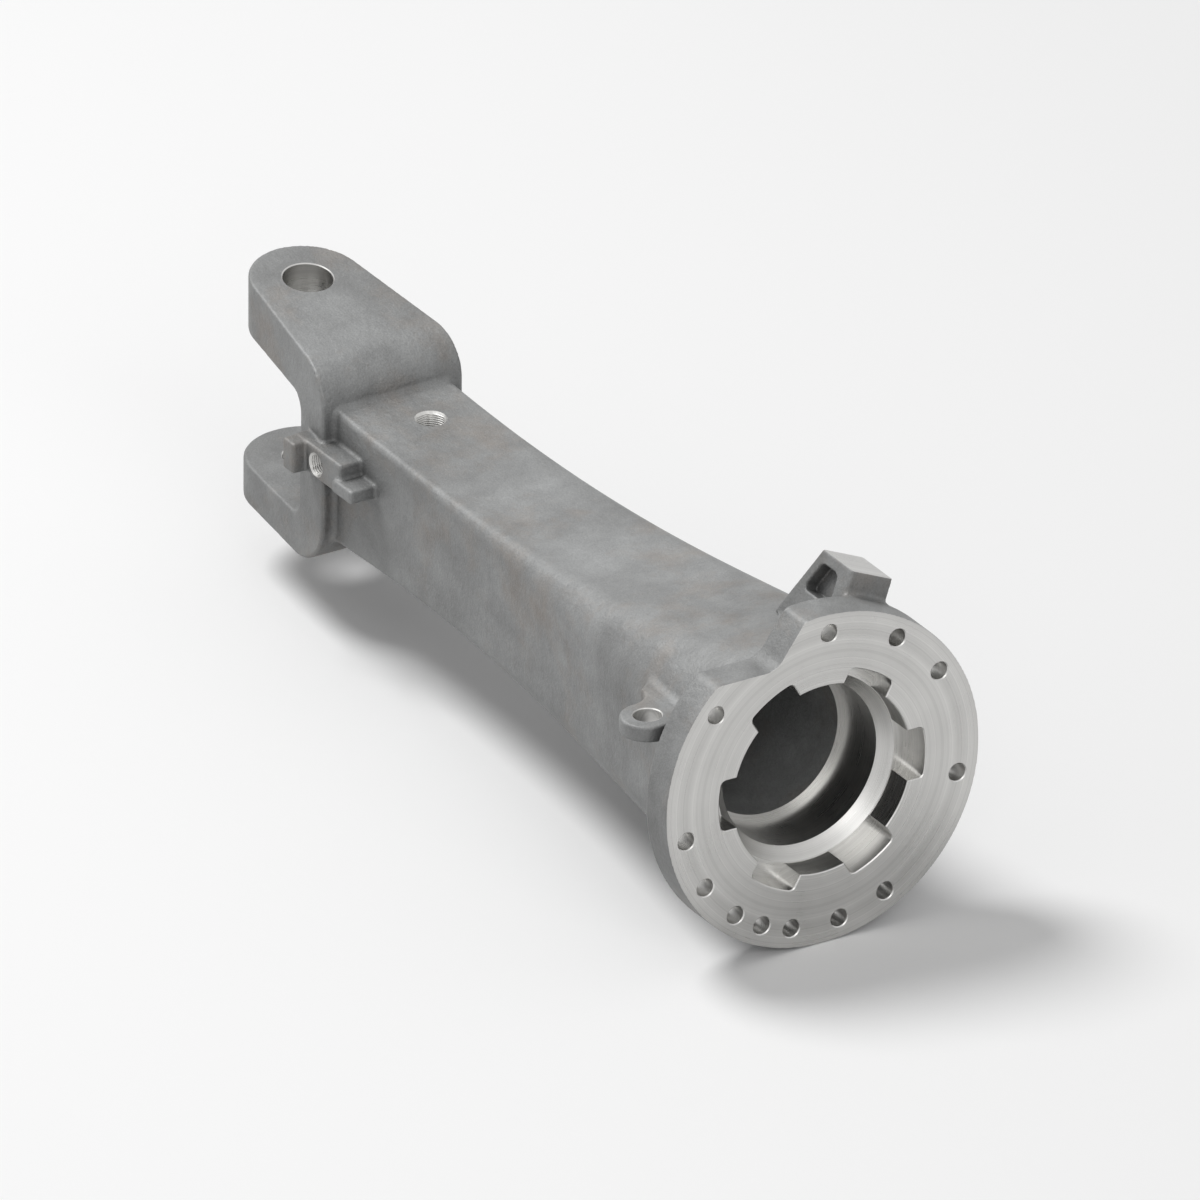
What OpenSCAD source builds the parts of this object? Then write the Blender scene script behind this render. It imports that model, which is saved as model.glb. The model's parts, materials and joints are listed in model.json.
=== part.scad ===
// Axle housing: one iron casting, the outer arm of a steered drive axle.
// The flange bolts to the middle of the axle and opens into the brake's piston chamber.
// The beam narrows from the round bell to a fork, whose two eyes carry the king pins.
// The origin is the centre of the flange's mating face. X runs along the axle shaft, out of the
// flange, and Z runs up along the king pins. Angles about X are measured from +Y towards +Z.

/* [Arm] */
// From the flange's mating face to the king-pin axis
arm_length = 811; // [780:1:850]
// From the king-pin axis to the back of the fork, where the beam starts
fork_reach = 134; // [128:1:142]

/* [Flange] */
// Radius of the flange's rim
flange_r = 150; // [148:0.5:156]
// Thickness of the flange
flange_t = 33; // [28:0.5:38]
// From the rim in to the circle that the bolt holes lie on
bolt_margin = 17.5; // [16:0.25:20]
// Radius of each bolt hole
bolt_r = 7.75; // [6:0.25:8.5]
// Radius of the seat cut round each bolt hole in the flange's back
seat_r = 14; // [13:0.25:14.5]
// Depth of those seats
seat_depth = 1; // [0.5:0.25:2]
// Room behind the seats for the bolts
bolt_room = 45; // [30:1:60]
// Depth of the notch below the top of the rim
notch_depth = 38.5; // [34:0.5:40]
// From the middle of the flange to the corner between the notch's floor and its slope
notch_corner = 44; // [38:0.5:48]
// Radius in that corner
notch_fillet_r = 20; // [12:0.5:22]
// Rounding at the notch's outer end
notch_outer_r = 15; // [10:0.5:18]
// Rounding at the notch's top end
notch_top_r = 8; // [5:0.5:10]

/* [Brake chamber] */
// Radius of the chamber between its slots
chamber_r = 85; // [83:0.5:88]
// Depth of the chamber from the mating face
chamber_depth = 26; // [20:0.5:30]
// Radius that the six slots reach out to
slot_reach = 99; // [96:0.5:104]
// Width of each slot
slot_w = 46; // [40:0.5:50]
// Rounding of the slots' outer corners
slot_corner_r = 5; // [3:0.5:7]
// Radius of the bore that the brake piston slides in
piston_r = 74; // [70:0.5:76]
// Depth at which the piston bore begins, behind a sloping step
piston_start = 36; // [33:0.5:40]
// Depth at which the piston bore ends
piston_end = 88; // [70:0.5:100]

/* [Beam] */
// Half the beam's width at the fork
beam_half_w = 55.5; // [52:0.5:60]
// Half the beam's height at the fork
beam_half_h = 61; // [58:0.5:64]
// Corner radius of the beam at the fork
beam_corner_r = 5; // [3:0.5:10]
// From the bolt circle in to the bell, where the beam meets the flange
bell_margin = 17.5; // [15.5:0.25:20]
// How far the top and bottom sink below a straight run on the way to the bell
beam_sag = 8; // [4:0.5:10]
// Thinnest wall of the cored beam
wall_t = 13; // [10:0.5:16]
// Largest radius of the cored hollow, behind the piston bore
core_r = 68; // [60:0.5:70]

/* [Fork] */
// Radius of the upper eye's round tip
eye_r = 49; // [46:0.5:52]
// Radius of the lower eye's round tip
lower_eye_r = 53; // [49:0.5:55]
// Radius of the king-pin bores
king_pin_r = 21; // [16:0.5:25]
// Height of the upper eye's top above the shaft, at the king-pin axis
eye_top = 111; // [106:0.5:114]
// Depth of the lower eye's underside below the shaft, at the king-pin axis
eye_bottom = 88; // [84:0.5:94]
// From the shaft up to the throat's roof, at the king-pin axis
throat_top = 62.5; // [56:0.5:65]
// From the shaft down to the throat's floor, at the king-pin axis
throat_bottom = 52.5; // [48:0.5:56]
// Slope of the upper eye's top towards the beam
eye_slope = 7.3; // [4:0.1:8]
// Slope of the lower eye's underside towards the beam
lower_slope = -2.1; // [-4:0.1:2]
// Slope of the throat's roof towards the beam
roof_slope = 4.5; // [3:0.1:6]
// Slope of the throat's floor towards the beam
floor_slope = -1.6; // [-3:0.1:2]
// Half the fork's width at its back
fork_half_w = 67.5; // [64:0.5:74]
// Thickness of the web between the eyes
web_t = 46; // [38:0.5:50]
// Radius of the fork's upper outer bend
bend_r = 38; // [30:0.5:42]
// Radius of the fork's lower outer bend
lower_bend_r = 53; // [44:0.5:58]
// Radius in the corners of the throat
throat_r = 16; // [10:0.5:20]

/* [Shaft way] */
// Radius of the shaft's hole through the web
shaft_r = 32; // [28:0.5:35]
// Radius of the seal's seat, in the throat
seal_r = 40; // [37:0.5:42]
// Depth of the seal's seat
seal_depth = 14; // [8:0.5:18]

/* [Top port] */
// Radius of the tapped port on top of the beam
port_r = 12; // [9:0.5:14]
// From the king-pin axis to the port
port_x = 184; // [175:1:200]
// From the beam's middle to the port, away from the stop lug
port_y = 6; // [0:0.5:12]

/* [Stop lug] */
// From the king-pin axis to the lug's outer end
lug_start = 106; // [102:1:112]
// Length of the lug
lug_l = 70.5; // [62:0.5:74]
// Height of the lug's underside above the shaft
lug_base = 6; // [3:0.5:8]
// Height of the lug
lug_h = 28; // [24:0.5:30]
// From the shaft out to the lug's face
lug_out = 77; // [75:0.5:80]
// Length of the stop pad on the lug's outer end
stop_l = 17; // [12:0.5:20]
// How far the stop pad stands out of the lug's face
stop_rise = 12.5; // [8:0.5:14]
// Length of the step at the lug's inner end
step_l = 30; // [26:0.5:34]
// Height of the step's top above the shaft
step_top = 20.5; // [18:0.5:22]
// Thickness of the step
step_t = 12; // [9:0.5:14]
// From the shaft out to the step's face
step_out = 81; // [80:0.5:86]
// How far the step reaches past the lug
step_past = 23; // [20:0.5:26]
// From the king-pin axis to the tapped hole in the lug
lug_hole_x = 138.5; // [134:0.5:142]
// Height of that hole above the shaft
lug_hole_z = 18.5; // [17:0.5:21]
// Radius of that hole
lug_hole_r = 9; // [7:0.5:10]
// Depth of that hole
lug_hole_depth = 28; // [20:0.5:30]

/* [Side ear] */
// Depth of the ear's hole behind the mating face
ear_x = 67.5; // [62:0.5:72]
// From the bell's side out to the ear's hole
ear_out = 12; // [9:0.5:15]
// Height of the ear's top face above the shaft
ear_top = 64; // [58:0.5:68]
// Thickness of the ear
ear_t = 15; // [12:0.5:18]
// Radius of the ear's round end
ear_r = 23.5; // [22:0.5:26]
// Radius of the flare at the ear's root, towards the fork
ear_flare = 20; // [12:0.5:28]
// Radius of the ear's hole
ear_hole_r = 12; // [9:0.5:14]

/* [Wedge pad] */
// Direction of the pad about the shaft
pad_angle = 65.5; // [62:0.5:69]
// Height of the pad's face above the flange's rim
pad_rise = 19; // [15:0.5:22]
// Width of the pad
pad_w = 43; // [38:0.5:46]
// Length of the pad's face
pad_l = 50; // [42:0.5:52]
// Draft of the pad's front, which leans back from the flange's rim
pad_draft = 6; // [3:0.5:12]
// Slope of the pad's back
pad_slope = 24; // [18:0.5:28]
// Wall over and behind the pocket in the pad's near side
pad_wall = 10; // [7:0.5:12]
// Wall between that pocket and the flange
pad_front = 18; // [14:0.5:22]
// Depth of the pocket's floor below the rim
pad_sink = 18; // [14:0.5:22]
// Depth of that pocket
pad_pocket = 12; // [8:0.5:16]

/* [Hidden] */
// Cuts run this far past the faces that they open
overrun = 4;
// Pieces of the casting reach this far into each other
overlap = 6;
// What comes out of the flange's back near the rim does so this far inside it
rim_margin = 2.5;
// The notch's rounded ends stand this far out of the rim, so that they cross it
notch_proud = 0.1;
curve_fn = 96;
arc_steps = 8;
loft_rings = 18;
// Holes in the flange, about the shaft, with a gap where the notch is
bolt_angles = [87, 57, 32, -12, -63, -83, -103, -116, -129, -148, -170, 140];
slot_count = 6;
notch_slope = 54;
bolt_circle_r = flange_r - bolt_margin;
bell_r = bolt_circle_r - bell_margin;
notch_floor = flange_r - notch_depth;
ear_y = bell_r + ear_out;
pad_top = flange_r + pad_rise;
pad_floor = flange_r - pad_sink;
fork_back = arm_length - fork_reach;
// Clear of the eyes' tips, where their outer faces are highest
fork_z = eye_top + tan(eye_slope) * eye_r + overrun;
beam_l = fork_back - flange_t;
// How the flare gathers towards the bell: the widths with one power, the corners with two
flare_power = 2.2;
corner_power = 2.4;
corner_late_power = 9;
corner_early_share = 0.6;
round_share = 0.97;

// Sections of the beam, with t from 0 at the fork to 1 at the flange
function half_w_at(t) = beam_half_w + (bell_r - beam_half_w) * pow(max(t, 0), flare_power);
function half_h_at(t) =
    beam_half_h + (bell_r - beam_half_h) * pow(max(t, 0), flare_power) - 4 * beam_sag * t * (1 - t);
function corner_blend(t) =
    corner_early_share * pow(t, corner_power) + (1 - corner_early_share) * pow(t, corner_late_power);
function corner_at(t) =
    min(round_share * min(half_w_at(t), half_h_at(t)),
        beam_corner_r + (bell_r - beam_corner_r) * corner_blend(max(t, 0)));
function core_at(t) = min(core_r, min(half_w_at(t), half_h_at(t)) - wall_t);

// A rounded rectangle of points about the origin, anticlockwise
function rounded_rectangle(half_w, half_h, r) = [
    for (corner = [0:3], step = [0:arc_steps])
        let (a = 90 * (corner + step / arc_steps),
             side = corner == 0 || corner == 3 ? 1 : -1,
             up = corner < 2 ? 1 : -1)
        [side * (half_w - r) + r * cos(a), up * (half_h - r) + r * sin(a)]
];

// Points of an arc about a centre, from one angle to another
function arc(centre, r, from, to) = [
    for (step = [0:arc_steps])
        let (a = from + (to - from) * step / arc_steps)
        centre + r * [cos(a), sin(a)]
];

// The loft from the fork's rectangle to the bell's circle, sunk into both at its ends
module beam() {
    sink = overlap / beam_l;
    ring_points = 4 * (arc_steps + 1);
    ring_t = [for (i = [0:loft_rings]) -sink + (1 + 2 * sink) * i / loft_rings];
    points = [
        for (t = ring_t, p = rounded_rectangle(half_w_at(t), half_h_at(t), corner_at(t)))
            [t * beam_l - fork_back, p.x, p.y]
    ];
    sides = [
        for (i = [0:loft_rings - 1], j = [0:ring_points - 1])
            let (a = i * ring_points + j,
                 b = i * ring_points + (j + 1) % ring_points,
                 c = b + ring_points,
                 d = a + ring_points)
            each [[a, d, c], [a, c, b]]
    ];
    fork_end = [for (j = [0:ring_points - 1]) j];
    bell_end = [for (j = [ring_points - 1:-1:0]) loft_rings * ring_points + j];
    polyhedron(points, concat([fork_end, bell_end], sides));
}

// Outline of one half of the fork seen from the side: out along a sloping face, then round a bend
function half_fork(reach, r, pin_z, slope) =
    let (start = -lower_eye_r - overrun,
         bend_x = reach - r,
         bend_z = pin_z - tan(slope) * bend_x - r / cos(slope))
    concat([[start, pin_z - tan(slope) * start]], arc([bend_x, bend_z], r, 90 - slope, 0));

module both_halves(upper, lower) {
    turned = [for (i = [len(lower) - 1:-1:0]) [lower[i].x, -lower[i].y]];
    polygon(concat(upper, turned));
}

// Seen from the side, a C with sloping arms
module fork_side() {
    throat_reach = fork_reach - web_t;
    difference() {
        both_halves(
            half_fork(fork_reach, bend_r, eye_top, eye_slope),
            half_fork(fork_reach, lower_bend_r, eye_bottom, lower_slope)
        );
        both_halves(
            half_fork(throat_reach, throat_r, throat_top, roof_slope),
            half_fork(throat_reach, throat_r, throat_bottom, floor_slope)
        );
    }
}

// Seen from above, a round tip that widens to the fork's back
module fork_plan(tip_r) {
    span = norm([fork_reach, fork_half_w]);
    touch = atan2(fork_half_w, fork_reach) + acos(tip_r / span);
    circle(tip_r, $fn = curve_fn);
    polygon([
        tip_r * [cos(touch), sin(touch)],
        [fork_reach, fork_half_w],
        [fork_reach, -fork_half_w],
        tip_r * [cos(touch), -sin(touch)]
    ]);
}

module fork() {
    translate([-arm_length, 0, 0]) intersection() {
        union() {
            linear_extrude(fork_z) fork_plan(eye_r);
            translate([0, 0, -fork_z]) linear_extrude(fork_z) fork_plan(lower_eye_r);
        }
        translate([0, fork_half_w + overrun, 0])
            rotate([90, 0, 0]) linear_extrude(2 * (fork_half_w + overrun)) fork_side();
    }
}

// The piece cut out of the flange's rim: a level floor, then a slope up to the top of the rim
module notch() {
    outer_z = notch_floor - notch_outer_r;
    outer_y = -sqrt(pow(flange_r + notch_proud - notch_outer_r, 2) - pow(outer_z, 2));
    outer_angle = atan2(outer_z, outer_y);
    fillet_z = notch_floor + notch_fillet_r;
    fillet_y = -notch_corner - notch_fillet_r * tan(notch_slope / 2);
    across = [-sin(notch_slope), cos(notch_slope)];
    along = [cos(notch_slope), sin(notch_slope)];
    line_offset = across * [-notch_corner, notch_floor] - notch_top_r;
    top = line_offset * across
        + sqrt(pow(flange_r + notch_proud - notch_top_r, 2) - pow(line_offset, 2)) * along;
    top_angle = atan2(top.y, top.x);
    clear_r = flange_r + notch_fillet_r;
    polygon(concat(
        [clear_r * [cos(outer_angle), sin(outer_angle)]],
        arc([outer_y, outer_z], notch_outer_r, outer_angle, 90),
        arc([fillet_y, fillet_z], notch_fillet_r, -90, notch_slope - 90),
        arc(top, notch_top_r, 90 + notch_slope, top_angle),
        [clear_r * [cos(top_angle), sin(top_angle)],
         clear_r * sqrt(2) * [cos((outer_angle + top_angle) / 2), sin((outer_angle + top_angle) / 2)]]
    ));
}

// Lays a drawing of the flange's plane, Y to the right and Z up, along X from one depth to another
module along_shaft(from, to) {
    translate([-to, 0, 0]) rotate([90, 0, 90]) linear_extrude(to - from) children();
}

module flange() {
    along_shaft(0, flange_t) difference() {
        circle(flange_r, $fn = curve_fn);
        notch();
    }
}

// One slot across the chamber, with round outer corners
module slot() {
    corner_y = slot_w / 2 - slot_corner_r;
    corner_x = sqrt(pow(slot_reach - slot_corner_r, 2) - pow(corner_y, 2));
    square([2 * corner_x, slot_w], center = true);
    intersection() {
        circle(slot_reach, $fn = curve_fn);
        square([2 * slot_reach, 2 * corner_y], center = true);
    }
    for (side_x = [-1, 1], side_y = [-1, 1])
        translate([side_x * corner_x, side_y * corner_y]) circle(slot_corner_r, $fn = curve_fn);
}

module chamber_slots() {
    for (i = [0:slot_count / 2 - 1])
        along_shaft(-overrun, chamber_depth) rotate(i * 360 / slot_count) slot();
}

// The turned chamber, its sloping step and the piston bore, then the cored and tapering hollow
module hollow() {
    core_start = (fork_back - piston_end) / beam_l;
    core = [
        for (i = [0:loft_rings])
            let (t = core_start * (1 - i / loft_rings))
            [core_at(t), fork_back - t * beam_l]
    ];
    rotate([0, -90, 0]) rotate_extrude($fn = curve_fn) polygon(concat(
        [[0, -overrun],
         [chamber_r, -overrun],
         [chamber_r, chamber_depth],
         [piston_r, piston_start],
         [piston_r, piston_end]],
        core,
        [[0, fork_back]]
    ));
}

// The shaft's way out through the web, with the seal's seat in the throat
module shaft_way() {
    web_face = arm_length - fork_reach + web_t;
    along_shaft(fork_back - overlap, web_face + overrun) circle(shaft_r, $fn = curve_fn);
    along_shaft(web_face - seal_depth, web_face + overrun) circle(seal_r, $fn = curve_fn);
}

module king_pin_bores() {
    translate([-arm_length, 0, -fork_z])
        cylinder(r = king_pin_r, h = 2 * fork_z, $fn = curve_fn);
}

// Through holes, and behind the flange a seat for each bolt's head with room to put the bolt in
module bolt_holes() {
    for (a = bolt_angles) {
        along_shaft(-overrun, flange_t + overrun)
            translate(bolt_circle_r * [cos(a), sin(a)]) circle(bolt_r, $fn = curve_fn);
        along_shaft(flange_t - seat_depth, flange_t + bolt_room)
            translate(bolt_circle_r * [cos(a), sin(a)]) circle(seat_r, $fn = curve_fn);
    }
}

module top_port() {
    translate([port_x - arm_length, port_y, 0])
        cylinder(r = port_r, h = beam_half_h + overrun, $fn = curve_fn);
}

// The steering stop on the near side, with its pad and its lower step
module stop_lug() {
    start = lug_start - arm_length;
    translate([start, -lug_out, lug_base]) cube([lug_l, lug_out - beam_half_w + overlap, lug_h]);
    translate([start, -lug_out - stop_rise, lug_base])
        cube([stop_l, stop_rise + overlap, lug_h]);
    translate([start + lug_l + step_past - step_l, -step_out, step_top - step_t])
        cube([step_l, step_out - beam_half_w + overlap, step_t]);
}

module lug_hole() {
    translate([lug_hole_x - arm_length, -lug_out - overrun, lug_hole_z]) rotate([-90, 0, 0])
        cylinder(r = lug_hole_r, h = lug_hole_depth + overrun, $fn = curve_fn);
}

// The flat ear behind the flange
module side_ear() {
    root = ear_y - sqrt(pow(bell_r, 2) - pow(ear_top, 2)) + wall_t;
    translate([-ear_x, -ear_y, ear_top - ear_t]) linear_extrude(ear_t) {
        circle(ear_r, $fn = curve_fn);
        polygon(concat(
            [[ear_r, 0], [ear_r, root], [-ear_r - 2 * ear_flare, root]],
            arc([-ear_r - ear_flare, 0], ear_flare, 90, 0)
        ));
    }
}

module side_ear_hole() {
    translate([-ear_x, -ear_y, ear_top - ear_t - overrun])
        cylinder(r = ear_hole_r, h = ear_t + 2 * overrun, $fn = curve_fn);
}

// Outline of the wedge pad seen from its near side, with a wall left out at the front and round it.
// Its front comes out of the flange's back just inside the rim.
module wedge(front_wall, wall) {
    foot = bell_r - wall_t;
    top = pad_top - wall;
    rim = sqrt(pow(flange_r, 2) - pow(pad_w / 2, 2)) - rim_margin;
    front_at_rim = -flange_t - front_wall;
    back_at_top = -flange_t - pad_l + wall / cos(pad_slope);
    polygon([
        [front_at_rim + tan(pad_draft) * (rim - foot), foot],
        [front_at_rim - tan(pad_draft) * (top - rim), top],
        [back_at_top - tan(pad_slope) * wall, top],
        [back_at_top - tan(pad_slope) * (pad_top - foot), foot]
    ]);
}

module wedge_pad() {
    rotate([pad_angle - 90, 0, 0]) difference() {
        translate([0, pad_w / 2, 0]) rotate([90, 0, 0]) linear_extrude(pad_w) wedge(0, 0);
        translate([0, pad_pocket - pad_w / 2, 0])
            rotate([90, 0, 0]) linear_extrude(pad_pocket + overrun) intersection() {
                wedge(pad_front, pad_wall);
                translate([-fork_back, pad_floor]) square([fork_back, pad_top]);
            }
    }
}

module axle_housing() {
    color("gainsboro") difference() {
        union() {
            beam();
            fork();
            flange();
            stop_lug();
            side_ear();
            wedge_pad();
        }
        chamber_slots();
        hollow();
        shaft_way();
        king_pin_bores();
        bolt_holes();
        top_port();
        lug_hole();
        side_ear_hole();
    }
}

axle_housing();
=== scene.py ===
import json
import math

import bmesh
import bpy
import numpy as np
from bpy.props import FloatProperty, FloatVectorProperty, IntProperty, PointerProperty
from mathutils import Matrix, Vector


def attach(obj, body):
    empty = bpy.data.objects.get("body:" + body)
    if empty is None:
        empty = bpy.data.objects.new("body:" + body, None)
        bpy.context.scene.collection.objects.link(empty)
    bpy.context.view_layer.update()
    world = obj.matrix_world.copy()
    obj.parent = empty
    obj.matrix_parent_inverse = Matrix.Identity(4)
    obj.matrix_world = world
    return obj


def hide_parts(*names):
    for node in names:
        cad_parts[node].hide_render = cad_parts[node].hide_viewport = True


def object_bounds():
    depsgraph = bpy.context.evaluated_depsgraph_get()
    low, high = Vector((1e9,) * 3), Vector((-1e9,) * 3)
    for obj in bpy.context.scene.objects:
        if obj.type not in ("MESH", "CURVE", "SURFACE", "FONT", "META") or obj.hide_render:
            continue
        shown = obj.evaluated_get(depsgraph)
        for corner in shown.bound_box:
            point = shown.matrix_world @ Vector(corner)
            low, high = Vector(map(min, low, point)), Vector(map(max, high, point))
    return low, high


bl_info = {
    "name": "Axle Housing",
    "version": (1, 0, 0),
    "blender": (4, 5, 0),
    "location": "3D View > Sidebar > Axle",
    "description": "Casts, machines and finishes one arm of a steered drive axle",
    "category": "Object",
}

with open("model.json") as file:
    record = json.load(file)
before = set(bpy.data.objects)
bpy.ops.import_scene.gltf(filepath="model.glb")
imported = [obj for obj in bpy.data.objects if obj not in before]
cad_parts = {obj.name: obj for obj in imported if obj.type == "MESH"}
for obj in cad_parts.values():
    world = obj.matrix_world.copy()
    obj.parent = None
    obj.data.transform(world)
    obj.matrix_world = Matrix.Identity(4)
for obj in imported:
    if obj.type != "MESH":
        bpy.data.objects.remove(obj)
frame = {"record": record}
CAD_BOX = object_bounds()
MOUNTS = {mount["name"]: mount for mount in frame["record"]["mounts"]}
NODE = "axle_housing"


def mount_place(name):
    """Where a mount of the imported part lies, in metres."""
    return Vector(MOUNTS[name]["pos_m"])


def mount_size(name, size):
    """One of a mount's sizes, which the record gives in millimetres, in metres."""
    return MOUNTS[name]["dims"][size] / 1000


def length(name, description, default):
    """A length that a user can set, in metres."""
    return FloatProperty(name=name, description=description, default=default,
                         subtype="DISTANCE", unit="LENGTH", precision=4)


def angle(name, description, degrees):
    """An angle that a user can set."""
    return FloatProperty(name=name, description=description, default=math.radians(degrees),
                         subtype="ANGLE", unit="ROTATION")


def colour(name, description, default):
    """A colour that a user can set."""
    return FloatVectorProperty(name=name, description=description, default=default,
                               subtype="COLOR", size=3, min=0, max=1)


def share(name, description, default):
    """A value from 0 to 1 that a user can set."""
    return FloatProperty(name=name, description=description, default=default, min=0, max=1,
                         subtype="FACTOR")


class HousingCasting(bpy.types.PropertyGroup):
    """Sizes of the rough casting, as in the part's drawing."""

    arm: length("Arm", "From the flange's face to the king-pin axis", -mount_place("king_pin_bores").x)
    reach: length("Fork reach", "From the king-pin axis to the back of the fork", 0.134)
    flange_r: length("Flange radius", "Radius of the flange's rim", mount_size("flange_rim", "r_mm"))
    flange_t: length("Flange thickness", "Thickness of the flange", mount_size("flange_rim", "length_mm"))
    face_stock: length("Facing stock", "Metal left on the faces that are machined", 0.002)
    notch_depth: length("Notch depth", "Depth of the notch below the top of the rim", 0.0385)
    notch_corner: length("Notch corner", "From the middle to the notch's corner", 0.044)
    notch_slope: angle("Notch slope", "Slope of the notch's inner side", 54)
    notch_fillet: length("Notch fillet", "Radius in the notch's corner", 0.020)
    notch_outer: length("Notch outer end", "Rounding where the notch's floor meets the rim", 0.015)
    notch_top: length("Notch top end", "Rounding where the notch's slope meets the rim", 0.008)
    bell_r: length("Bell radius", "Radius of the beam where it meets the flange", 0.115)
    beam_w: length("Beam half width", "Half the beam's width at the fork", 0.0555)
    beam_h: length("Beam half height", "Half the beam's height at the fork", 0.061)
    beam_corner: length("Beam corner", "Corner radius of the beam at the fork", 0.005)
    beam_sag: length("Beam sag", "How far the top sinks below a straight run to the bell", 0.008)
    wall: length("Wall", "Thinnest wall of the cored beam", 0.013)
    core_r: length("Core radius", "Largest radius of the cored hollow", 0.068)
    eye_r: length("Upper eye", "Radius of the upper eye's tip", 0.049)
    lower_eye_r: length("Lower eye", "Radius of the lower eye's tip", 0.053)
    eye_top: length("Eye top", "Height of the upper eye at the king-pin axis", 0.111)
    eye_bottom: length("Eye bottom", "Depth of the lower eye at the king-pin axis", 0.088)
    eye_slope: angle("Eye slope", "Slope of the upper eye's top", 7.3)
    lower_slope: angle("Lower slope", "Slope of the lower eye's underside", -2.1)
    throat_top: length("Throat top", "Height of the throat's roof at the king-pin axis", 0.0625)
    throat_bottom: length("Throat bottom", "Depth of the throat's floor at the king-pin axis", 0.0525)
    roof_slope: angle("Roof slope", "Slope of the throat's roof", 4.5)
    floor_slope: angle("Floor slope", "Slope of the throat's floor", -1.6)
    throat_r: length("Throat corner", "Radius in the throat's corners", 0.016)
    fork_w: length("Fork half width", "Half the fork's width at its back", 0.0675)
    web: length("Web", "Thickness of the web between the eyes", 0.046)
    bend: length("Bend", "Radius of the fork's upper outer bend", 0.038)
    lower_bend: length("Lower bend", "Radius of the fork's lower outer bend", 0.053)
    cast_edge: length("Cast edge", "Rounding of the casting's outer edges", 0.0025)
    cast_fillet: length("Cast fillet", "Fillet in the casting's inner corners", 0.005)
    skin: length("Skin", "How far the skin lies inside the drawn size", 0.0001)
    grid: length("Grid", "Spacing of the grid that the skin is taken from", 0.0022)
    grid_waist: length("Waist grid", "Spacing of that grid along the plain part of the beam", 0.0045)
    triangles: IntProperty(name="Triangles", description="Triangles that the rough casting keeps",
                           default=150000, min=1000)


class HousingLugs(bpy.types.PropertyGroup):
    """Sizes of the stop lug, the side ear and the wedge pad."""

    lug_start: length("Lug start", "From the king-pin axis to the lug", 0.106)
    lug_l: length("Lug length", "Length of the lug", 0.0705)
    lug_base: length("Lug base", "Height of the lug's underside", 0.006)
    lug_h: length("Lug height", "Height of the lug", 0.028)
    lug_out: length("Lug face", "From the shaft out to the lug's face", 0.077)
    stop_l: length("Stop length", "Length of the stop pad", 0.017)
    stop_rise: length("Stop rise", "How far the stop pad stands out", 0.0125)
    step_l: length("Step length", "Length of the lug's lower step", 0.030)
    step_top: length("Step top", "Height of the step's top", 0.0205)
    step_t: length("Step thickness", "Thickness of the step", 0.012)
    step_out: length("Step face", "From the shaft out to the step's face", 0.081)
    step_past: length("Step past", "How far the step reaches past the lug", 0.023)
    ear_out: length("Ear radius", "Radius of the side ear's round end", 0.0235)
    ear_top: length("Ear top", "Height of the side ear's top face", 0.064)
    ear_t: length("Ear thickness", "Thickness of the side ear", 0.015)
    ear_flare: length("Ear flare", "Radius of the flare at the ear's root", 0.020)
    pad_angle: angle("Pad angle", "Direction of the wedge pad about the shaft", 65.5)
    pad_rise: length("Pad rise", "Height of the pad's face above the rim", 0.019)
    pad_w: length("Pad width", "Width of the wedge pad", 0.043)
    pad_l: length("Pad length", "Length of the pad's face", 0.050)
    pad_draft: angle("Pad draft", "How far the pad's front leans back", 6)
    pad_slope: angle("Pad slope", "Slope of the pad's back", 24)
    pad_wall: length("Pad wall", "Wall over and behind the pad's pocket", 0.010)
    pad_front: length("Pad front", "Wall between the pocket and the flange", 0.018)
    pad_sink: length("Pocket floor", "Depth of the pocket's floor below the rim", 0.018)
    pad_pocket: length("Pocket depth", "Depth of the pocket", 0.012)
    pocket_r: length("Pocket corner", "Radius in the pocket's corners", 0.006)


class HousingMachining(bpy.types.PropertyGroup):
    """Sizes of the machined chamber, bores and holes."""

    chamber_r: length("Chamber radius", "Radius of the brake chamber between its slots", 0.085)
    chamber_l: length("Chamber depth", "Depth of the brake chamber", 0.026)
    slot_reach: length("Slot reach", "Radius that the six slots reach out to", 0.099)
    slot_w: length("Slot width", "Width of each slot", 0.046)
    slot_corner: length("Slot corner", "Rounding of the slots' outer corners", 0.005)
    piston_start: length("Piston bore start", "Depth at which the piston bore begins", 0.036)
    land: length("Land", "Flat left on the chamber's floor round the piston bore's mouth", 0.0005)
    seat_r: length("Bolt seat", "Radius of the seat behind each bolt hole", 0.014)
    seat_depth: length("Seat depth", "Depth of the bolt seats", 0.001)
    bolt_room: length("Bolt room", "Room behind the seats for the bolts", 0.045)
    edge_break: length("Edge break", "Chamfer on machined edges", 0.0009)
    hole_lead: length("Hole lead", "Chamfer at the mouths of tapped holes", 0.0016)
    clearance: length("Clearance", "How far a cutter stands out of the face that it enters", 0.0006)
    thread_pitch: length("Thread pitch", "Pitch of the tapped holes' threads", 0.002)
    thread_depth: length("Thread depth", "Depth of the tapped holes' threads", 0.0011)
    drill_tip: share("Drill tip", "Height of a blind hole's tip, as a share of its radius", 0.58)
    facets: IntProperty(name="Facets", description="Sides of a turned surface", default=128, min=24)


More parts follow.
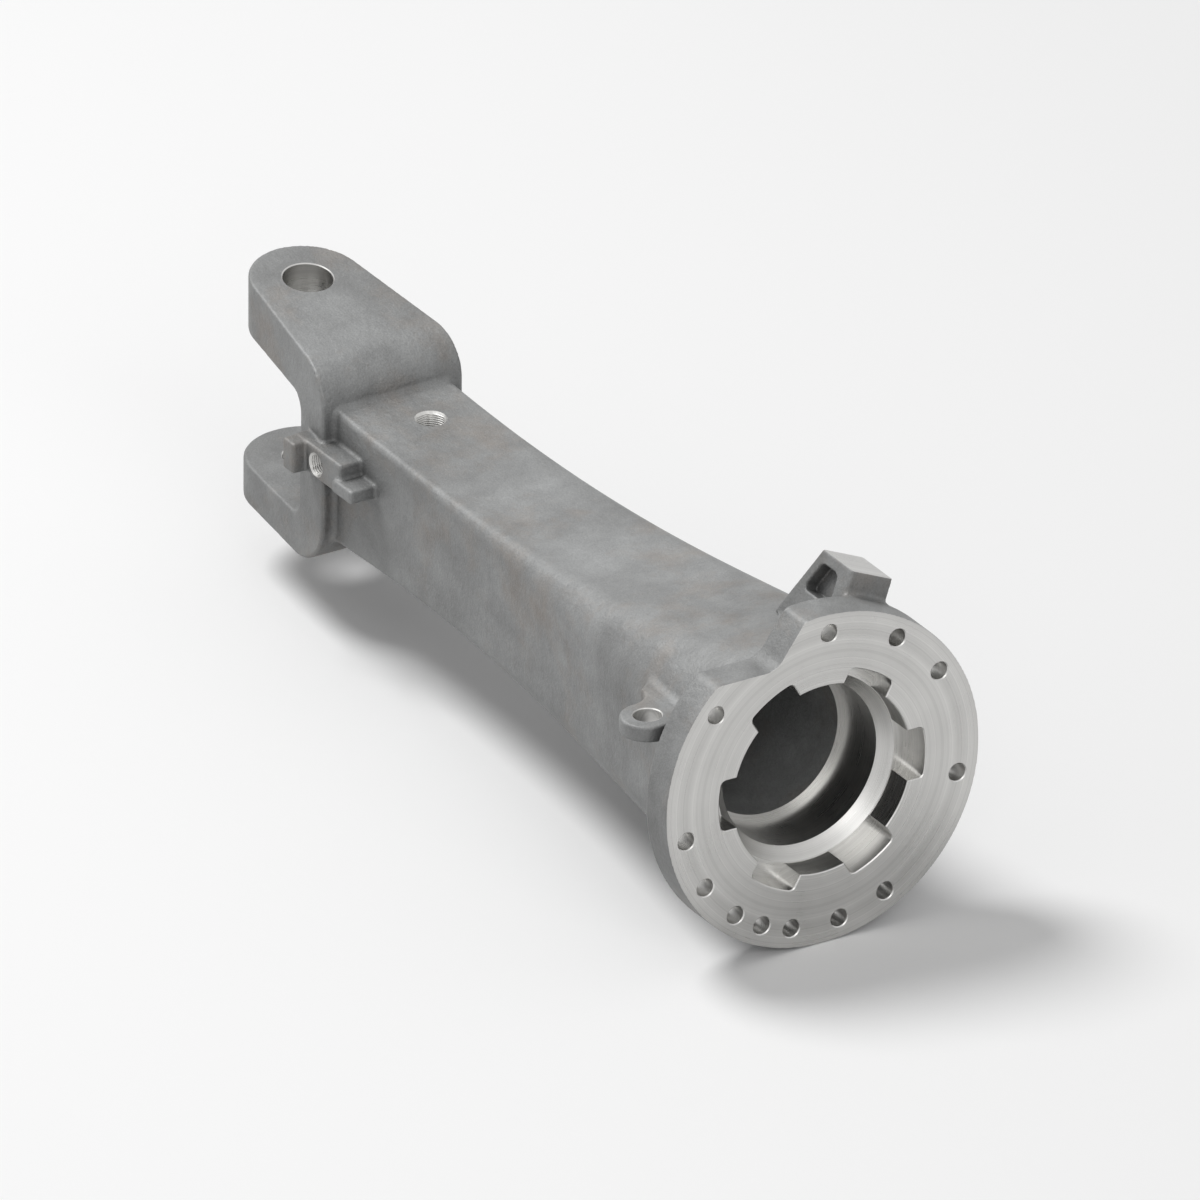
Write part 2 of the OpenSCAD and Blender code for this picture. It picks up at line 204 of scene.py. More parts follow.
class HousingFinish(bpy.types.PropertyGroup):
    """Colours and grain of the casting and of its machined faces."""

    skin: colour("Cast skin", "Colour of the cast surface", (0.31, 0.315, 0.315))
    skin_dark: colour("Cast skin, dark", "Darker patches of the cast surface", (0.215, 0.217, 0.215))
    oxide: colour("Oxide", "Colour of the faint rust on the cast surface", (0.26, 0.205, 0.16))
    oxide_share: share("Oxide share", "How strongly the rust shows where it is thickest", 0.42)
    skin_rough: share("Skin roughness", "Roughness of the cast surface", 0.55)
    skin_metal: share("Skin metal", "How metallic the cast surface is", 0.35)
    # Painted shade: how much ambient occlusion darkens the cast skin's colour in corners and hollows, and how far
    # from them it reaches.
    painted_hollow_shade: share("Hollow darkening", "How much darker corners and hollows are", 0.45)
    painted_shade_reach: length("Hollow reach", "How far corners and hollows darken the surface", 0.030)
    # Painted highlight, partly real abrasion: the bright colour painted along edges, how strongly it shows and how
    # far from an edge it reaches.
    worn_highlight_colour: colour("Worn edge", "Colour of edges that are rubbed bright", (0.60, 0.60, 0.59))
    edge_highlight_wear: share("Wear", "How much the edges are rubbed bright", 0.85)
    edge_highlight_reach: length("Wear reach", "How far from an edge the skin is rubbed", 0.0014)
    steel: colour("Machined iron", "Colour of freshly cut iron", (0.60, 0.595, 0.58))
    steel_rough: share("Machined roughness", "Roughness of the turned faces", 0.32)
    drill_rough: share("Drilled roughness", "Roughness of drilled holes", 0.45)
    grain: length("Sand grain", "Size of the grain that the mould's sand leaves", 0.0016)
    feed: length("Tool feed", "Spacing of the tool's marks on turned faces", 0.0011)


class HousingStage(bpy.types.PropertyGroup):
    """The camera, the lamps and the floor."""

    azimuth: angle("Azimuth", "Direction of the camera about the vertical", 58.65)
    elevation: angle("Elevation", "Height of the camera above the horizon", 26.85)
    distance: length("Distance", "From the camera to the view's centre", 3.0)
    view_w: length("View width", "Width of the view at its centre", 0.984)
    aim_right: length("Aim right", "From the view's centre right to the part's origin", 0.18245)
    aim_down: length("Aim down", "From the view's centre down to the part's origin", 0.14727)
    floor: colour("Floor", "Colour of the floor in the picture", (0.90, 0.90, 0.90))
    bounce: colour("Floor bounce", "Colour of the floor for the light that it throws back", (0.4, 0.4, 0.4))
    key_power: FloatProperty(name="Key lamp", description="Power of the key lamp", default=235, min=0,
                             unit="POWER")
    fill_power: FloatProperty(name="Fill lamp", description="Power of the fill lamp", default=60, min=0,
                              unit="POWER")
    sky: share("Sky", "Strength of the light from all around", 0.38)
    sky_seen: share("Sky seen", "Strength of the surroundings that the camera and metal show", 0.92)


def rounded_corner(a, b, radius, lean=0.0):
    """Distance to an outward edge between two walls; lean is the cosine between their normals."""
    u, v = a + radius, b + radius
    arc = np.sqrt(np.maximum(u * u + v * v - 2 * lean * u * v, 0) / (1 - lean * lean)) - radius
    return np.where((u > lean * v) & (v > lean * u), arc, np.maximum(a, b))


def filleted(a, b, radius):
    """Distance to two shapes that are joined with a fillet between them."""
    gap = np.hypot(np.maximum(radius - a, 0), np.maximum(radius - b, 0))
    return np.maximum(np.minimum(a, b), radius) - gap


def block(place, low, high, radius):
    """Distance to a block with rounded edges."""
    past = [np.maximum(lo - v, v - hi) + radius for v, lo, hi in zip(place, low, high)]
    outside = np.sqrt(sum(np.maximum(p, 0) ** 2 for p in past))
    return outside + np.minimum(np.maximum(np.maximum(past[0], past[1]), past[2]), 0) - radius


class Casting:
    """The rough casting as a distance that is negative inside it, in metres."""

    flare_power = 2.2
    corner_power = 2.4
    corner_late_power = 9
    corner_early_share = 0.6
    round_share = 0.97

    def __init__(self, sizes, lugs):
        self.s = sizes
        self.lugs = lugs
        self.fork_back = sizes.arm - sizes.reach
        self.beam_l = self.fork_back - sizes.flange_t

    def sections(self, x):
        """Half width, half height and corner radius of the beam at x, and the core's radius."""
        s = self.s
        t = np.clip((x + self.fork_back) / self.beam_l, 0, 1)
        flare = t ** self.flare_power
        w = s.beam_w + (s.bell_r - s.beam_w) * flare
        h = s.beam_h + (s.bell_r - s.beam_h) * flare - 4 * s.beam_sag * t * (1 - t)
        blend = (self.corner_early_share * t ** self.corner_power
                 + (1 - self.corner_early_share) * t ** self.corner_late_power)
        thinner = np.minimum(w, h)
        corner = np.minimum(self.round_share * thinner, s.beam_corner + (s.bell_r - s.beam_corner) * blend)
        return w, h, corner, np.minimum(s.core_r, thinner - s.wall)

    def beam(self, x, y, z):
        w, h, corner, _ = self.sections(x)
        u, v = np.abs(y) - w + corner, np.abs(z) - h + corner
        d = np.hypot(np.maximum(u, 0), np.maximum(v, 0)) + np.minimum(np.maximum(u, v), 0) - corner
        return np.maximum(d, np.maximum(-x - self.fork_back - self.s.web / 2, x + self.s.flange_t / 2))

    def core(self, x, y, z):
        radius = self.sections(x)[3]
        return rounded_corner(np.hypot(y, z) - radius, -x - self.fork_back, 2 * self.s.cast_fillet)

    def fork(self, x, y, z):
        s = self.s
        u = x + s.arm
        upper = 0.5 + 0.5 * np.clip(z / (s.throat_bottom / 2), -1, 1)
        tip = s.lower_eye_r + (s.eye_r - s.lower_eye_r) * upper * upper * (3 - 2 * upper)

        def half(height, reach, pin_z, slope, radius):
            face = (height - pin_z + math.tan(slope) * u) * math.cos(slope)
            return rounded_corner(u - reach, face, radius, math.sin(slope))

        outer = np.maximum(half(z, s.reach, s.eye_top, s.eye_slope, s.bend),
                           half(-z, s.reach, s.eye_bottom, s.lower_slope, s.lower_bend))
        throat = np.maximum(half(z, s.reach - s.web, s.throat_top, s.roof_slope, s.throat_r),
                            half(-z, s.reach - s.web, s.throat_bottom, s.floor_slope, s.throat_r))
        touch = np.arctan2(s.fork_w, s.reach) + np.arccos(tip / math.hypot(s.reach, s.fork_w))
        side = u * np.cos(touch) + np.abs(y) * np.sin(touch) - tip
        past_tip = u * np.sin(touch) - np.abs(y) * np.cos(touch)
        plan = np.where(past_tip > 0, side, np.hypot(u, y) - tip)
        return rounded_corner(np.maximum(outer, -throat), plan, s.cast_edge)

    def flange(self, x, y, z):
        s = self.s
        radius = np.maximum(np.hypot(y, z), s.notch_top)
        floor_z = s.flange_r - s.notch_depth
        sin, cos = math.sin(s.notch_slope), math.cos(s.notch_slope)
        slope = sin * (y + s.notch_corner) - cos * (z - floor_z)
        notch = rounded_corner(floor_z - z, slope, s.notch_fillet, cos)
        outer_end = y < -1.5 * s.notch_corner
        lean = np.clip(np.where(outer_end, z, cos * z - sin * y) / radius, -0.9, 0.9)
        end_r = np.where(outer_end, s.notch_outer, s.notch_top)
        outline = rounded_corner(radius - s.flange_r, -notch, end_r, lean)
        slab = np.maximum(-x - s.flange_t, x - s.face_stock)
        return rounded_corner(slab, outline, s.cast_edge)

    def stop_lug(self, x, y, z):
        s, g = self.s, self.lugs
        start = g.lug_start - s.arm
        root = -s.beam_w + s.cast_fillet
        top = g.lug_base + g.lug_h
        place = (x, y, z)
        body = block(place, (start, -g.lug_out, g.lug_base), (start + g.lug_l, root, top), s.cast_edge)
        stop = block(place, (start, -g.lug_out - g.stop_rise, g.lug_base),
                     (start + g.stop_l, root, top), s.cast_edge)
        end = start + g.lug_l + g.step_past
        step = block(place, (end - g.step_l, -g.step_out, g.step_top - g.step_t),
                     (end, root, g.step_top), s.cast_edge)
        return filleted(filleted(body, stop, s.cast_edge), step, s.cast_edge)

    def side_ear(self, x, y, z):
        s, g = self.s, self.lugs
        hole = mount_place("side_ear_hole")
        u, v = x - hole.x, hole.y - y
        outline = np.where(v > 0, np.hypot(u, v), np.abs(u)) - g.ear_out
        back, inward = -u - g.ear_out, -v
        curve = g.ear_flare - np.hypot(back - g.ear_flare, inward)
        straight = (back - g.ear_flare) - (inward - g.ear_flare) * 0.8
        flare = np.where(inward > g.ear_flare, straight * 0.78, np.maximum(curve, back - g.ear_flare))
        flare = np.maximum(np.maximum(flare, -inward), u)
        root = y + s.bell_r * 0.72
        outline = np.maximum(np.minimum(outline, flare), root)
        slab = np.abs(z - g.ear_top + g.ear_t / 2) - g.ear_t / 2
        return rounded_corner(outline, slab, s.cast_edge)

    def wedge_pad(self, x, y, z):
        s, g = self.s, self.lugs
        sin, cos = math.sin(g.pad_angle), math.cos(g.pad_angle)
        out, across = cos * y + sin * z, sin * y - cos * z
        top_z = s.flange_r + g.pad_rise
        rim = math.sqrt(s.flange_r ** 2 - (g.pad_w / 2) ** 2) - s.cast_edge

        def profile(front_wall, wall, top, radius):
            front = (x + s.flange_t + front_wall + math.tan(g.pad_draft) * (out - rim)) * math.cos(g.pad_draft)
            back_x = -s.flange_t - g.pad_l - math.tan(g.pad_slope) * (top_z - out)
            back = (back_x - x) * math.cos(g.pad_slope) + wall
            shape = rounded_corner(out - top, back, radius, math.sin(g.pad_slope))
            return rounded_corner(shape, front, radius, math.sin(g.pad_draft))

        solid = profile(0, 0, top_z + s.face_stock / 2, s.cast_edge)
        solid = np.maximum(rounded_corner(solid, np.abs(across) - g.pad_w / 2, s.cast_edge),
                           s.bell_r - s.wall - out)
        pocket = profile(g.pad_front, g.pad_wall, top_z - g.pad_wall, g.pocket_r)
        pocket = rounded_corner(pocket, s.flange_r - g.pad_sink - out, g.pocket_r)
        pocket = np.maximum(pocket, across + g.pad_w / 2 - g.pad_pocket)
        return rounded_corner(solid, -pocket, s.cast_edge / 2)

    def __call__(self, x, y, z):
        s = self.s
        d = filleted(self.beam(x, y, z), self.fork(x, y, z), s.cast_fillet)
        d = filleted(d, self.flange(x, y, z), s.cast_fillet)
        d = filleted(d, self.stop_lug(x, y, z), s.cast_fillet / 2)
        d = filleted(d, self.side_ear(x, y, z), s.cast_fillet)
        d = filleted(d, self.wedge_pad(x, y, z), s.cast_fillet)
        return rounded_corner(d, -self.core(x, y, z), s.cast_edge) + s.skin

    def settle(self, points, rounds):
        """Moves points onto the skin."""
        for _ in range(rounds):
            slope = self.slope(points)
            size = np.maximum((slope * slope).sum(1), 0.2)
            points = points - slope * (self(*points.T) / size)[:, None]
        return points

    def slope(self, points, reach=2e-5):
        """The distance's gradient at each point."""
        rows = []
        for axis in range(3):
            ahead, behind = points.copy(), points.copy()
            ahead[:, axis] += reach
            behind[:, axis] -= reach
            rows.append((self(*ahead.T) - self(*behind.T)) / (2 * reach))
        return np.stack(rows, axis=1)


def grid_lines(stops, steps):
    """Grid lines that run through the stops, with a step of its own in each stretch."""
    lines = [np.array([stops[0]])]
    for low, high, step in zip(stops, stops[1:], steps):
        lines.append(np.linspace(low, high, max(1, math.ceil((high - low) / step)) + 1)[1:])
    return np.concatenate(lines)


def skin_of(distance, lines):
    """A closed mesh of quads where the distance changes sign, with one point in each grid cell that it crosses."""
    xs, ys, zs = lines
    d = np.concatenate([
        distance(xs[i:i + 16, None, None], ys[None, :, None], zs[None, None, :]) for i in range(0, len(xs), 16)
    ])
    cells = tuple(n - 1 for n in d.shape)
    total = np.zeros((3, int(np.prod(cells))))
    count = np.zeros(int(np.prod(cells)))
    crossings = []
    for axis in range(3):
        ahead = [slice(None)] * 3
        behind = [slice(None)] * 3
        ahead[axis], behind[axis] = slice(1, None), slice(None, -1)
        low, high = d[tuple(behind)], d[tuple(ahead)]
        at = np.nonzero((low < 0) != (high < 0))
        share_along = low[at] / (low[at] - high[at])
        point = [line[index] for line, index in zip(lines, at)]
        line = lines[axis]
        point[axis] = line[at[axis]] + share_along * (line[at[axis] + 1] - line[at[axis]])
        one, two = (axis + 1) % 3, (axis + 2) % 3
        around = []
        for back_one, back_two in ((0, 0), (1, 0), (1, 1), (0, 1)):
            cell = list(at)
            cell[one] = cell[one] - back_one
            cell[two] = cell[two] - back_two
            flat = np.ravel_multi_index(cell, cells)
            around.append(flat)
            for k in range(3):
                total[k] += np.bincount(flat, point[k], total.shape[1])
            count += np.bincount(flat, minlength=total.shape[1])
        quads = np.stack(around, axis=1)
        outward = low[at] < 0
        crossings.append(np.where(outward[:, None], quads, quads[:, ::-1]))
    used = np.nonzero(count)[0]
    number = np.full(total.shape[1], -1)
    number[used] = np.arange(len(used))
    return (total[:, used] / count[used]).T, number[np.concatenate(crossings)]


def mesh_object(name, points, faces):
    """A new mesh object at the origin."""
    mesh = bpy.data.meshes.new(name)
    mesh.from_pydata([tuple(p) for p in points], [], [tuple(f) for f in faces])
    mesh.update()
    obj = bpy.data.objects.new(name, mesh)
    bpy.context.scene.collection.objects.link(obj)
    return obj


def turned(name, profile, centre, axis, facets):
    """A cutter turned about an axis.

    The profile's points are (distance along the axis, radius, how much the ring leans).
    """
    turn = Vector((0, 0, 1)).rotation_difference(Vector(axis)).to_matrix()
    bm = bmesh.new()
    rings = []
    for along, radius, *lean in profile:
        if radius == 0:
            rings.append([bm.verts.new(centre + turn @ Vector((0, 0, along)))])
            continue
        ring = []
        for i in range(facets):
            a = 2 * math.pi * i / facets
            x, y = radius * math.cos(a), radius * math.sin(a)
            ring.append(bm.verts.new(centre + turn @ Vector((x, y, along + (lean[0] * x if lean else 0)))))
        rings.append(ring)
    for lower, upper in zip(rings, rings[1:]):
        for i in range(facets):
            j = (i + 1) % facets
            if len(lower) == 1:
                bm.faces.new((lower[0], upper[j], upper[i]))
            elif len(upper) == 1:
                bm.faces.new((lower[i], lower[j], upper[0]))
            else:
                bm.faces.new((lower[i], lower[j], upper[j], upper[i]))
    bmesh.ops.recalc_face_normals(bm, faces=bm.faces)
    mesh = bpy.data.meshes.new(name)
    bm.to_mesh(mesh)
    bm.free()
    obj = bpy.data.objects.new(name, mesh)
    bpy.context.scene.collection.objects.link(obj)
    return obj


def stacked(name, outlines):
    """A cutter along X through outlines of equal length; each is (x, [(y, z), ...])."""
    points = [(x, y, z) for x, outline in outlines for y, z in outline]
    n = len(outlines[0][1])
    faces = [tuple(range(n))[::-1], tuple(range(n * (len(outlines) - 1), n * len(outlines)))]
    for i in range(len(outlines) - 1):
        faces += [(i * n + j, i * n + (j + 1) % n, (i + 1) * n + (j + 1) % n, (i + 1) * n + j)
                  for j in range(n)]
    obj = mesh_object(name, points, faces)
    bm = bmesh.new()
    bm.from_mesh(obj.data)
    bmesh.ops.recalc_face_normals(bm, faces=bm.faces)
    bm.to_mesh(obj.data)
    bm.free()
    return obj


def arc(centre, radius, start, end, steps):
    """Points of an arc, from one angle to another."""
    angles = [start + (end - start) * i / steps for i in range(steps + 1)]
    return [(centre[0] + radius * math.cos(a), centre[1] + radius * math.sin(a)) for a in angles]


def chamber_outline(sizes, grow):
    """The slotted mouth of the brake chamber, grown by a margin."""
    half, reach, chamber = sizes.slot_w / 2 + grow, sizes.slot_reach + grow, sizes.chamber_r + grow
    corner = sizes.slot_corner + grow
    corner_y = half - corner
    corner_x = math.sqrt((reach - corner) ** 2 - corner_y ** 2)
    swing = math.atan2(corner_y, corner_x)
    side = math.asin(half / chamber)
    one = ([(chamber * math.cos(side), -half)]
           + arc((corner_x, -corner_y), corner, -math.pi / 2, -swing, 6)
           + arc((0, 0), reach, -swing, swing, 12)[1:-1]
           + arc((corner_x, corner_y), corner, swing, math.pi / 2, 6)
           + arc((0, 0), chamber, side, math.pi / 3 - side, 12)[:-1])
    points = []
    for slot in range(6):
        cos, sin = math.cos(slot * math.pi / 3), math.sin(slot * math.pi / 3)
        points += [(cos * y - sin * z, sin * y + cos * z) for y, z in one]
    return points


def cut(body, cutter):
    """Takes the cutter out of the body; the faces that it leaves keep the cutter's materials."""
    difference = body.modifiers.new("cut", "BOOLEAN")
    difference.operation = "DIFFERENCE"
    difference.solver = "EXACT"
    difference.material_mode = "TRANSFER"
    difference.object = cutter
    replace_mesh(body)
    bpy.data.objects.remove(cutter)


def joined(name, parts):
    """Joins cutters that don't touch into one; the parts are (cutter, material or None if it has its own)."""
    bm = bmesh.new()
    materials = []
    for part, material in parts:
        material = material or part.data.materials[0]
        if material not in materials:
            materials.append(material)
        first = len(bm.faces)
        bm.from_mesh(part.data)
        bm.faces.ensure_lookup_table()
        for face in bm.faces[first:]:
            face.material_index = materials.index(material)
        bpy.data.objects.remove(part)
    obj = mesh_object(name, [], [])
    bm.to_mesh(obj.data)
    bm.free()
    for material in materials:
        obj.data.materials.append(material)
    return obj


def drill_tree():
    """Geometry nodes that put a copy of a drill on each point."""
    tree = bpy.data.node_groups.new("drill_pattern", "GeometryNodeTree")
    for name, kind in (("Holes", "NodeSocketGeometry"), ("Drill", "NodeSocketObject"),
                       ("Material", "NodeSocketMaterial")):
        tree.interface.new_socket(name, in_out="INPUT", socket_type=kind)
    tree.interface.new_socket("Drills", in_out="OUTPUT", socket_type="NodeSocketGeometry")
    nodes, links = tree.nodes, tree.links
    given = nodes.new("NodeGroupInput").outputs
    drill = nodes.new("GeometryNodeObjectInfo")
    links.new(given["Drill"], drill.inputs["Object"])
    points = nodes.new("GeometryNodeMeshToPoints")
    links.new(given["Holes"], points.inputs["Mesh"])
    copies = nodes.new("GeometryNodeInstanceOnPoints")
    links.new(points.outputs["Points"], copies.inputs["Points"])
    links.new(drill.outputs["Geometry"], copies.inputs["Instance"])
    real = nodes.new("GeometryNodeRealizeInstances")
    links.new(copies.outputs["Instances"], real.inputs["Geometry"])
    painted = nodes.new("GeometryNodeSetMaterial")
    links.new(real.outputs["Geometry"], painted.inputs["Geometry"])
    links.new(given["Material"], painted.inputs["Material"])
    links.new(painted.outputs["Geometry"], nodes.new("NodeGroupOutput").inputs["Drills"])
    return tree


def drilled(name, places, drill, material):
    """One mesh with the drill at every place."""
    obj = mesh_object(name, places, [])
    tree = drill_tree()
    pattern = obj.modifiers.new("pattern", "NODES")
    pattern.node_group = tree
    sockets = {item.name: item.identifier for item in tree.interface.items_tree}
    pattern[sockets["Drill"]] = drill
    pattern[sockets["Material"]] = material
    replace_mesh(obj)
    bpy.data.objects.remove(drill)
    return obj


def replace_mesh(obj):
    """Applies an object's modifiers."""
    graph = bpy.context.evaluated_depsgraph_get()
    made = bpy.data.meshes.new_from_object(obj.evaluated_get(graph), depsgraph=graph)
    obj.modifiers.clear()
    old = obj.data
    obj.data = made
    bpy.data.meshes.remove(old)


def tapped(name, centre, axis, radius, bottom, top, clear, blind, sizes):
    """A cutter for a tapped hole, with its thread's helix fading out towards the bottom."""
    pitch, depth, lead = sizes.thread_pitch, sizes.thread_depth, sizes.hole_lead
    facets, steps = sizes.facets // 2, 6
    turn = Vector((0, 0, 1)).rotation_difference(Vector(axis)).to_matrix()
    rings = round((top - lead - bottom) / pitch * steps)
    points, faces = [], []
    for i in range(rings + 1):
        along = bottom + (top - lead - bottom) * i / rings
        fade = min(1, max(0, (along - bottom) / pitch - 1.5))
        for j in range(facets):
            a = 2 * math.pi * j / facets
            wave = 2 * abs((along / pitch - j / facets) % 1 - 0.5)
            r = radius + depth * wave * fade
            points.append(centre + turn @ Vector((r * math.cos(a), r * math.sin(a), along)))
    for j in range(facets):
        a = 2 * math.pi * j / facets
        r = radius + lead + clear
        points.append(centre + turn @ Vector((r * math.cos(a), r * math.sin(a), top + clear)))
    for i in range(rings + 1):
        faces += [(i * facets + j, i * facets + (j + 1) % facets, (i + 1) * facets + (j + 1) % facets,
                   (i + 1) * facets + j) for j in range(facets)]
    tip = bottom - (radius * sizes.drill_tip if blind else 0)
    points += [centre + turn @ Vector((0, 0, tip)), centre + turn @ Vector((0, 0, top + clear))]
    last = (rings + 1) * facets
    faces += [((j + 1) % facets, j, len(points) - 2) for j in range(facets)]
    faces += [(last + j, last + (j + 1) % facets, len(points) - 1) for j in range(facets)]
    return mesh_object(name, points, faces)


def bolt_holes():
    """Centres of the flange's bolt holes, two from each pair that the record states."""
    places = []
    for name, mount in MOUNTS.items():
        if mount["kind"] != "bolt_pattern":
            continue
        middle = mount_place(name)
        half = mount_size(name, "pcd_mm") / 2
        across = middle.cross(Vector((1, 0, 0)))
        across = across.normalized() if across.length > 1e-6 else Vector((0, 1, 0))
        places += [middle + half * across, middle - half * across]
    return places


class Nodes:
    """Short ways to add shader nodes to a material or a world."""

    def __init__(self, owner, shader):
        owner.use_nodes = True
        self.owner = owner
        self.tree = owner.node_tree
        self.shader = self.tree.nodes[shader]
        self.place = self.add("ShaderNodeTexCoord").outputs["Object"]

    def add(self, kind, **settings):
        node = self.tree.nodes.new(kind)
        for key, value in settings.items():
            setattr(node, key, value)
        return node

    def put(self, node, name, value):
        """Sets an input to a value, or links it to another node's output."""
        if isinstance(value, bpy.types.NodeSocket):
            self.tree.links.new(value, node.inputs[name])
        else:
            node.inputs[name].default_value = value

    def seen(self):
        """1 for what the camera, metal and glass show, and 0 for light that is thrown onto a surface."""
        ray = self.add("ShaderNodeLightPath").outputs
        mirrored = self.maths("MAXIMUM", ray["Is Glossy Ray"], ray["Is Transmission Ray"])
        return self.maths("MAXIMUM", ray["Is Camera Ray"], mirrored)

    def noise(self, scale, detail=2.0, roughness=0.5, place=None, **settings):
        node = self.add("ShaderNodeTexNoise", **settings)
        self.put(node, "Scale", scale)
        self.put(node, "Detail", detail)
        self.put(node, "Roughness", roughness)
        if settings.get("noise_dimensions") == "1D":
            self.put(node, "W", place)
        else:
            self.put(node, "Vector", place or self.place)
        return node.outputs["Fac"]

    def ranged(self, value, low, high, to_low, to_high):
        node = self.add("ShaderNodeMapRange")
        for name, number in (("Value", value), ("From Min", low), ("From Max", high),
                             ("To Min", to_low), ("To Max", to_high)):
            self.put(node, name, number)
        return node.outputs["Result"]

    def maths(self, operation, one, two=None):
        node = self.add("ShaderNodeMath", operation=operation)
        self.put(node, 0, one)
        if two is not None:
            self.put(node, 1, two)
        return node.outputs[0]

    def mixed(self, factor, one, two, blend="MIX"):
        node = self.add("ShaderNodeMix", data_type="RGBA", blend_type=blend)
        self.put(node, "Factor", factor)
        for name, value in (("A", one), ("B", two)):
            self.put(node, name, value if isinstance(value, bpy.types.NodeSocket) else (*value, 1))
        return node.outputs["Result"]

    def bumped(self, height, strength, distance, normal=None):
        node = self.add("ShaderNodeBump")
        self.put(node, "Strength", strength)
        self.put(node, "Distance", distance)
        self.put(node, "Height", height)
        if normal:
            self.put(node, "Normal", normal)
        return node.outputs["Normal"]

    def around(self, centre, axis):
        """A turned surface's own coordinate: distance from the axis plus distance along it."""
        moved = self.add("ShaderNodeVectorMath", operation="SUBTRACT")
        self.put(moved, 0, self.place)
        self.put(moved, 1, centre)
        parts = self.add("ShaderNodeSeparateXYZ")
        self.put(parts, "Vector", moved.outputs[0])
        across = [parts.outputs[name] for name in "XYZ" if name != axis]
        squares = [self.maths("MULTIPLY", part, part) for part in across]
        radius = self.maths("SQRT", self.maths("ADD", *squares))
        return self.maths("ADD", radius, parts.outputs[axis])


def material_nodes(name):
    """The nodes of a new material, which takes the place of an old one of that name."""
    old = bpy.data.materials.get(name)
    if old:
        bpy.data.materials.remove(old)
    return Nodes(bpy.data.materials.new(name), "Principled BSDF")


def cast_material(finish):
    """Shot-blasted cast iron: mottled and grainy, with painted shade in its corners and a painted highlight along
    its edges that also stands for abraded metal.
    """
    n = material_nodes("cast_skin")
    skin = n.mixed(n.ranged(n.noise(8, 4, 0.6), 0.32, 0.66, 0, 1), finish.skin_dark, finish.skin)
    rust = n.ranged(n.noise(13, 5, 0.7), 0.50, 0.72, 0, finish.oxide_share)
    skin = n.mixed(rust, skin, finish.oxide)
    cloud = n.ranged(n.noise(34, 4, 0.65), 0.3, 0.7, 0.86, 1.10)
    grain_noise = n.noise(1 / finish.grain, 3, 0.65)
    grain = n.ranged(grain_noise, 0.3, 0.7, 0.84, 1.14)
    tone = n.maths("MULTIPLY", cloud, grain)
    # Painted shade: ambient occlusion darkens the skin's colour in corners and hollows, where shade falls.
    hollow = n.add("ShaderNodeAmbientOcclusion", samples=8)
    n.put(hollow, "Distance", finish.painted_shade_reach)
    shade_in = n.ranged(hollow.outputs["AO"], 0.35, 0.95, 1 - finish.painted_hollow_shade, 1)
    tone = n.maths("MULTIPLY", tone, shade_in)
    grey = n.add("ShaderNodeCombineColor")
    for name in ("Red", "Green", "Blue"):
        n.put(grey, name, tone)
    skin = n.mixed(1.0, skin, grey.outputs["Color"], "MULTIPLY")
    # Painted highlight, partly real abrasion: the bevel's normal finds the edges, and noise breaks up the bright
    # colour painted along them.
    bevel = n.add("ShaderNodeBevel", samples=6)
    n.put(bevel, "Radius", finish.edge_highlight_reach)
    facing = n.add("ShaderNodeVectorMath", operation="DOT_PRODUCT")
    n.put(facing, 0, bevel.outputs["Normal"])
    n.put(facing, 1, n.add("ShaderNodeNewGeometry").outputs["Normal"])
    edge = n.ranged(facing.outputs["Value"], 0.80, 0.99, 1, 0)
    edge_wear_and_highlight = n.maths("MULTIPLY", edge, n.ranged(n.noise(60, 4, 0.7), 0.42, 0.62, 0.1, finish.edge_highlight_wear))
    n.put(n.shader, "Base Color", n.mixed(edge_wear_and_highlight, skin, finish.worn_highlight_colour))
    n.put(n.shader, "Metallic", finish.skin_metal)
    n.put(n.shader, "Roughness", n.ranged(grain_noise, 0.3, 0.7, finish.skin_rough - 0.08,
                                          finish.skin_rough + 0.08))
    waves = n.bumped(n.noise(42, 3), 0.30, 0.0016)
    coarse = n.bumped(n.noise(0.3 / finish.grain, 3, 0.6), 0.75, 0.0011, waves)
    n.put(n.shader, "Normal", n.bumped(grain_noise, 0.65, 0.0005, coarse))
    return n.owner


def machined(name, finish, centre, axis, rough):
    """Bright cut iron with the tool's marks in rings about an axis."""
    n = material_nodes(name)
    rings = n.around(centre, axis)
    wide = n.noise(0.12 / finish.feed, 3, 0.7, rings, noise_dimensions="1D")
    fine = n.noise(1 / finish.feed, 2, 0.5, rings, noise_dimensions="1D")
    smudge = n.noise(16, 4, 0.6)
    tone = n.maths("MULTIPLY", n.ranged(wide, 0.3, 0.7, 0.90, 1.05), n.ranged(smudge, 0.3, 0.7, 0.93, 1.04))
    tone = n.maths("MULTIPLY", tone, n.ranged(fine, 0.3, 0.7, 0.93, 1.05))
    grey = n.add("ShaderNodeCombineColor")
    for channel in ("Red", "Green", "Blue"):
        n.put(grey, channel, tone)
    n.put(n.shader, "Base Color", n.mixed(1.0, grey.outputs["Color"], finish.steel, "MULTIPLY"))
    n.put(n.shader, "Metallic", 1.0)
    n.put(n.shader, "Roughness", n.maths("ADD", n.ranged(fine, 0.3, 0.7, rough - 0.05, rough + 0.05),
                                         n.ranged(smudge, 0.35, 0.65, -0.03, 0.05)))
    n.put(n.shader, "Normal", n.bumped(fine, 0.10, 0.0003))
    return n.owner


def turned_material(finish):
    """Faces and bores turned about the shaft."""
    return machined("turned_iron", finish, (0, 0, 0), "X", finish.steel_rough)


def bored_material(finish):
    """Bores about the king pins' axis."""
    return machined("bored_iron", finish, tuple(mount_place("king_pin_bores")), "Z", finish.steel_rough)


def drilled_material(finish):
    """Drilled and tapped holes, rougher than turned faces."""
    return machined("drilled_iron", finish, (0, 0, 0), "X", finish.drill_rough)


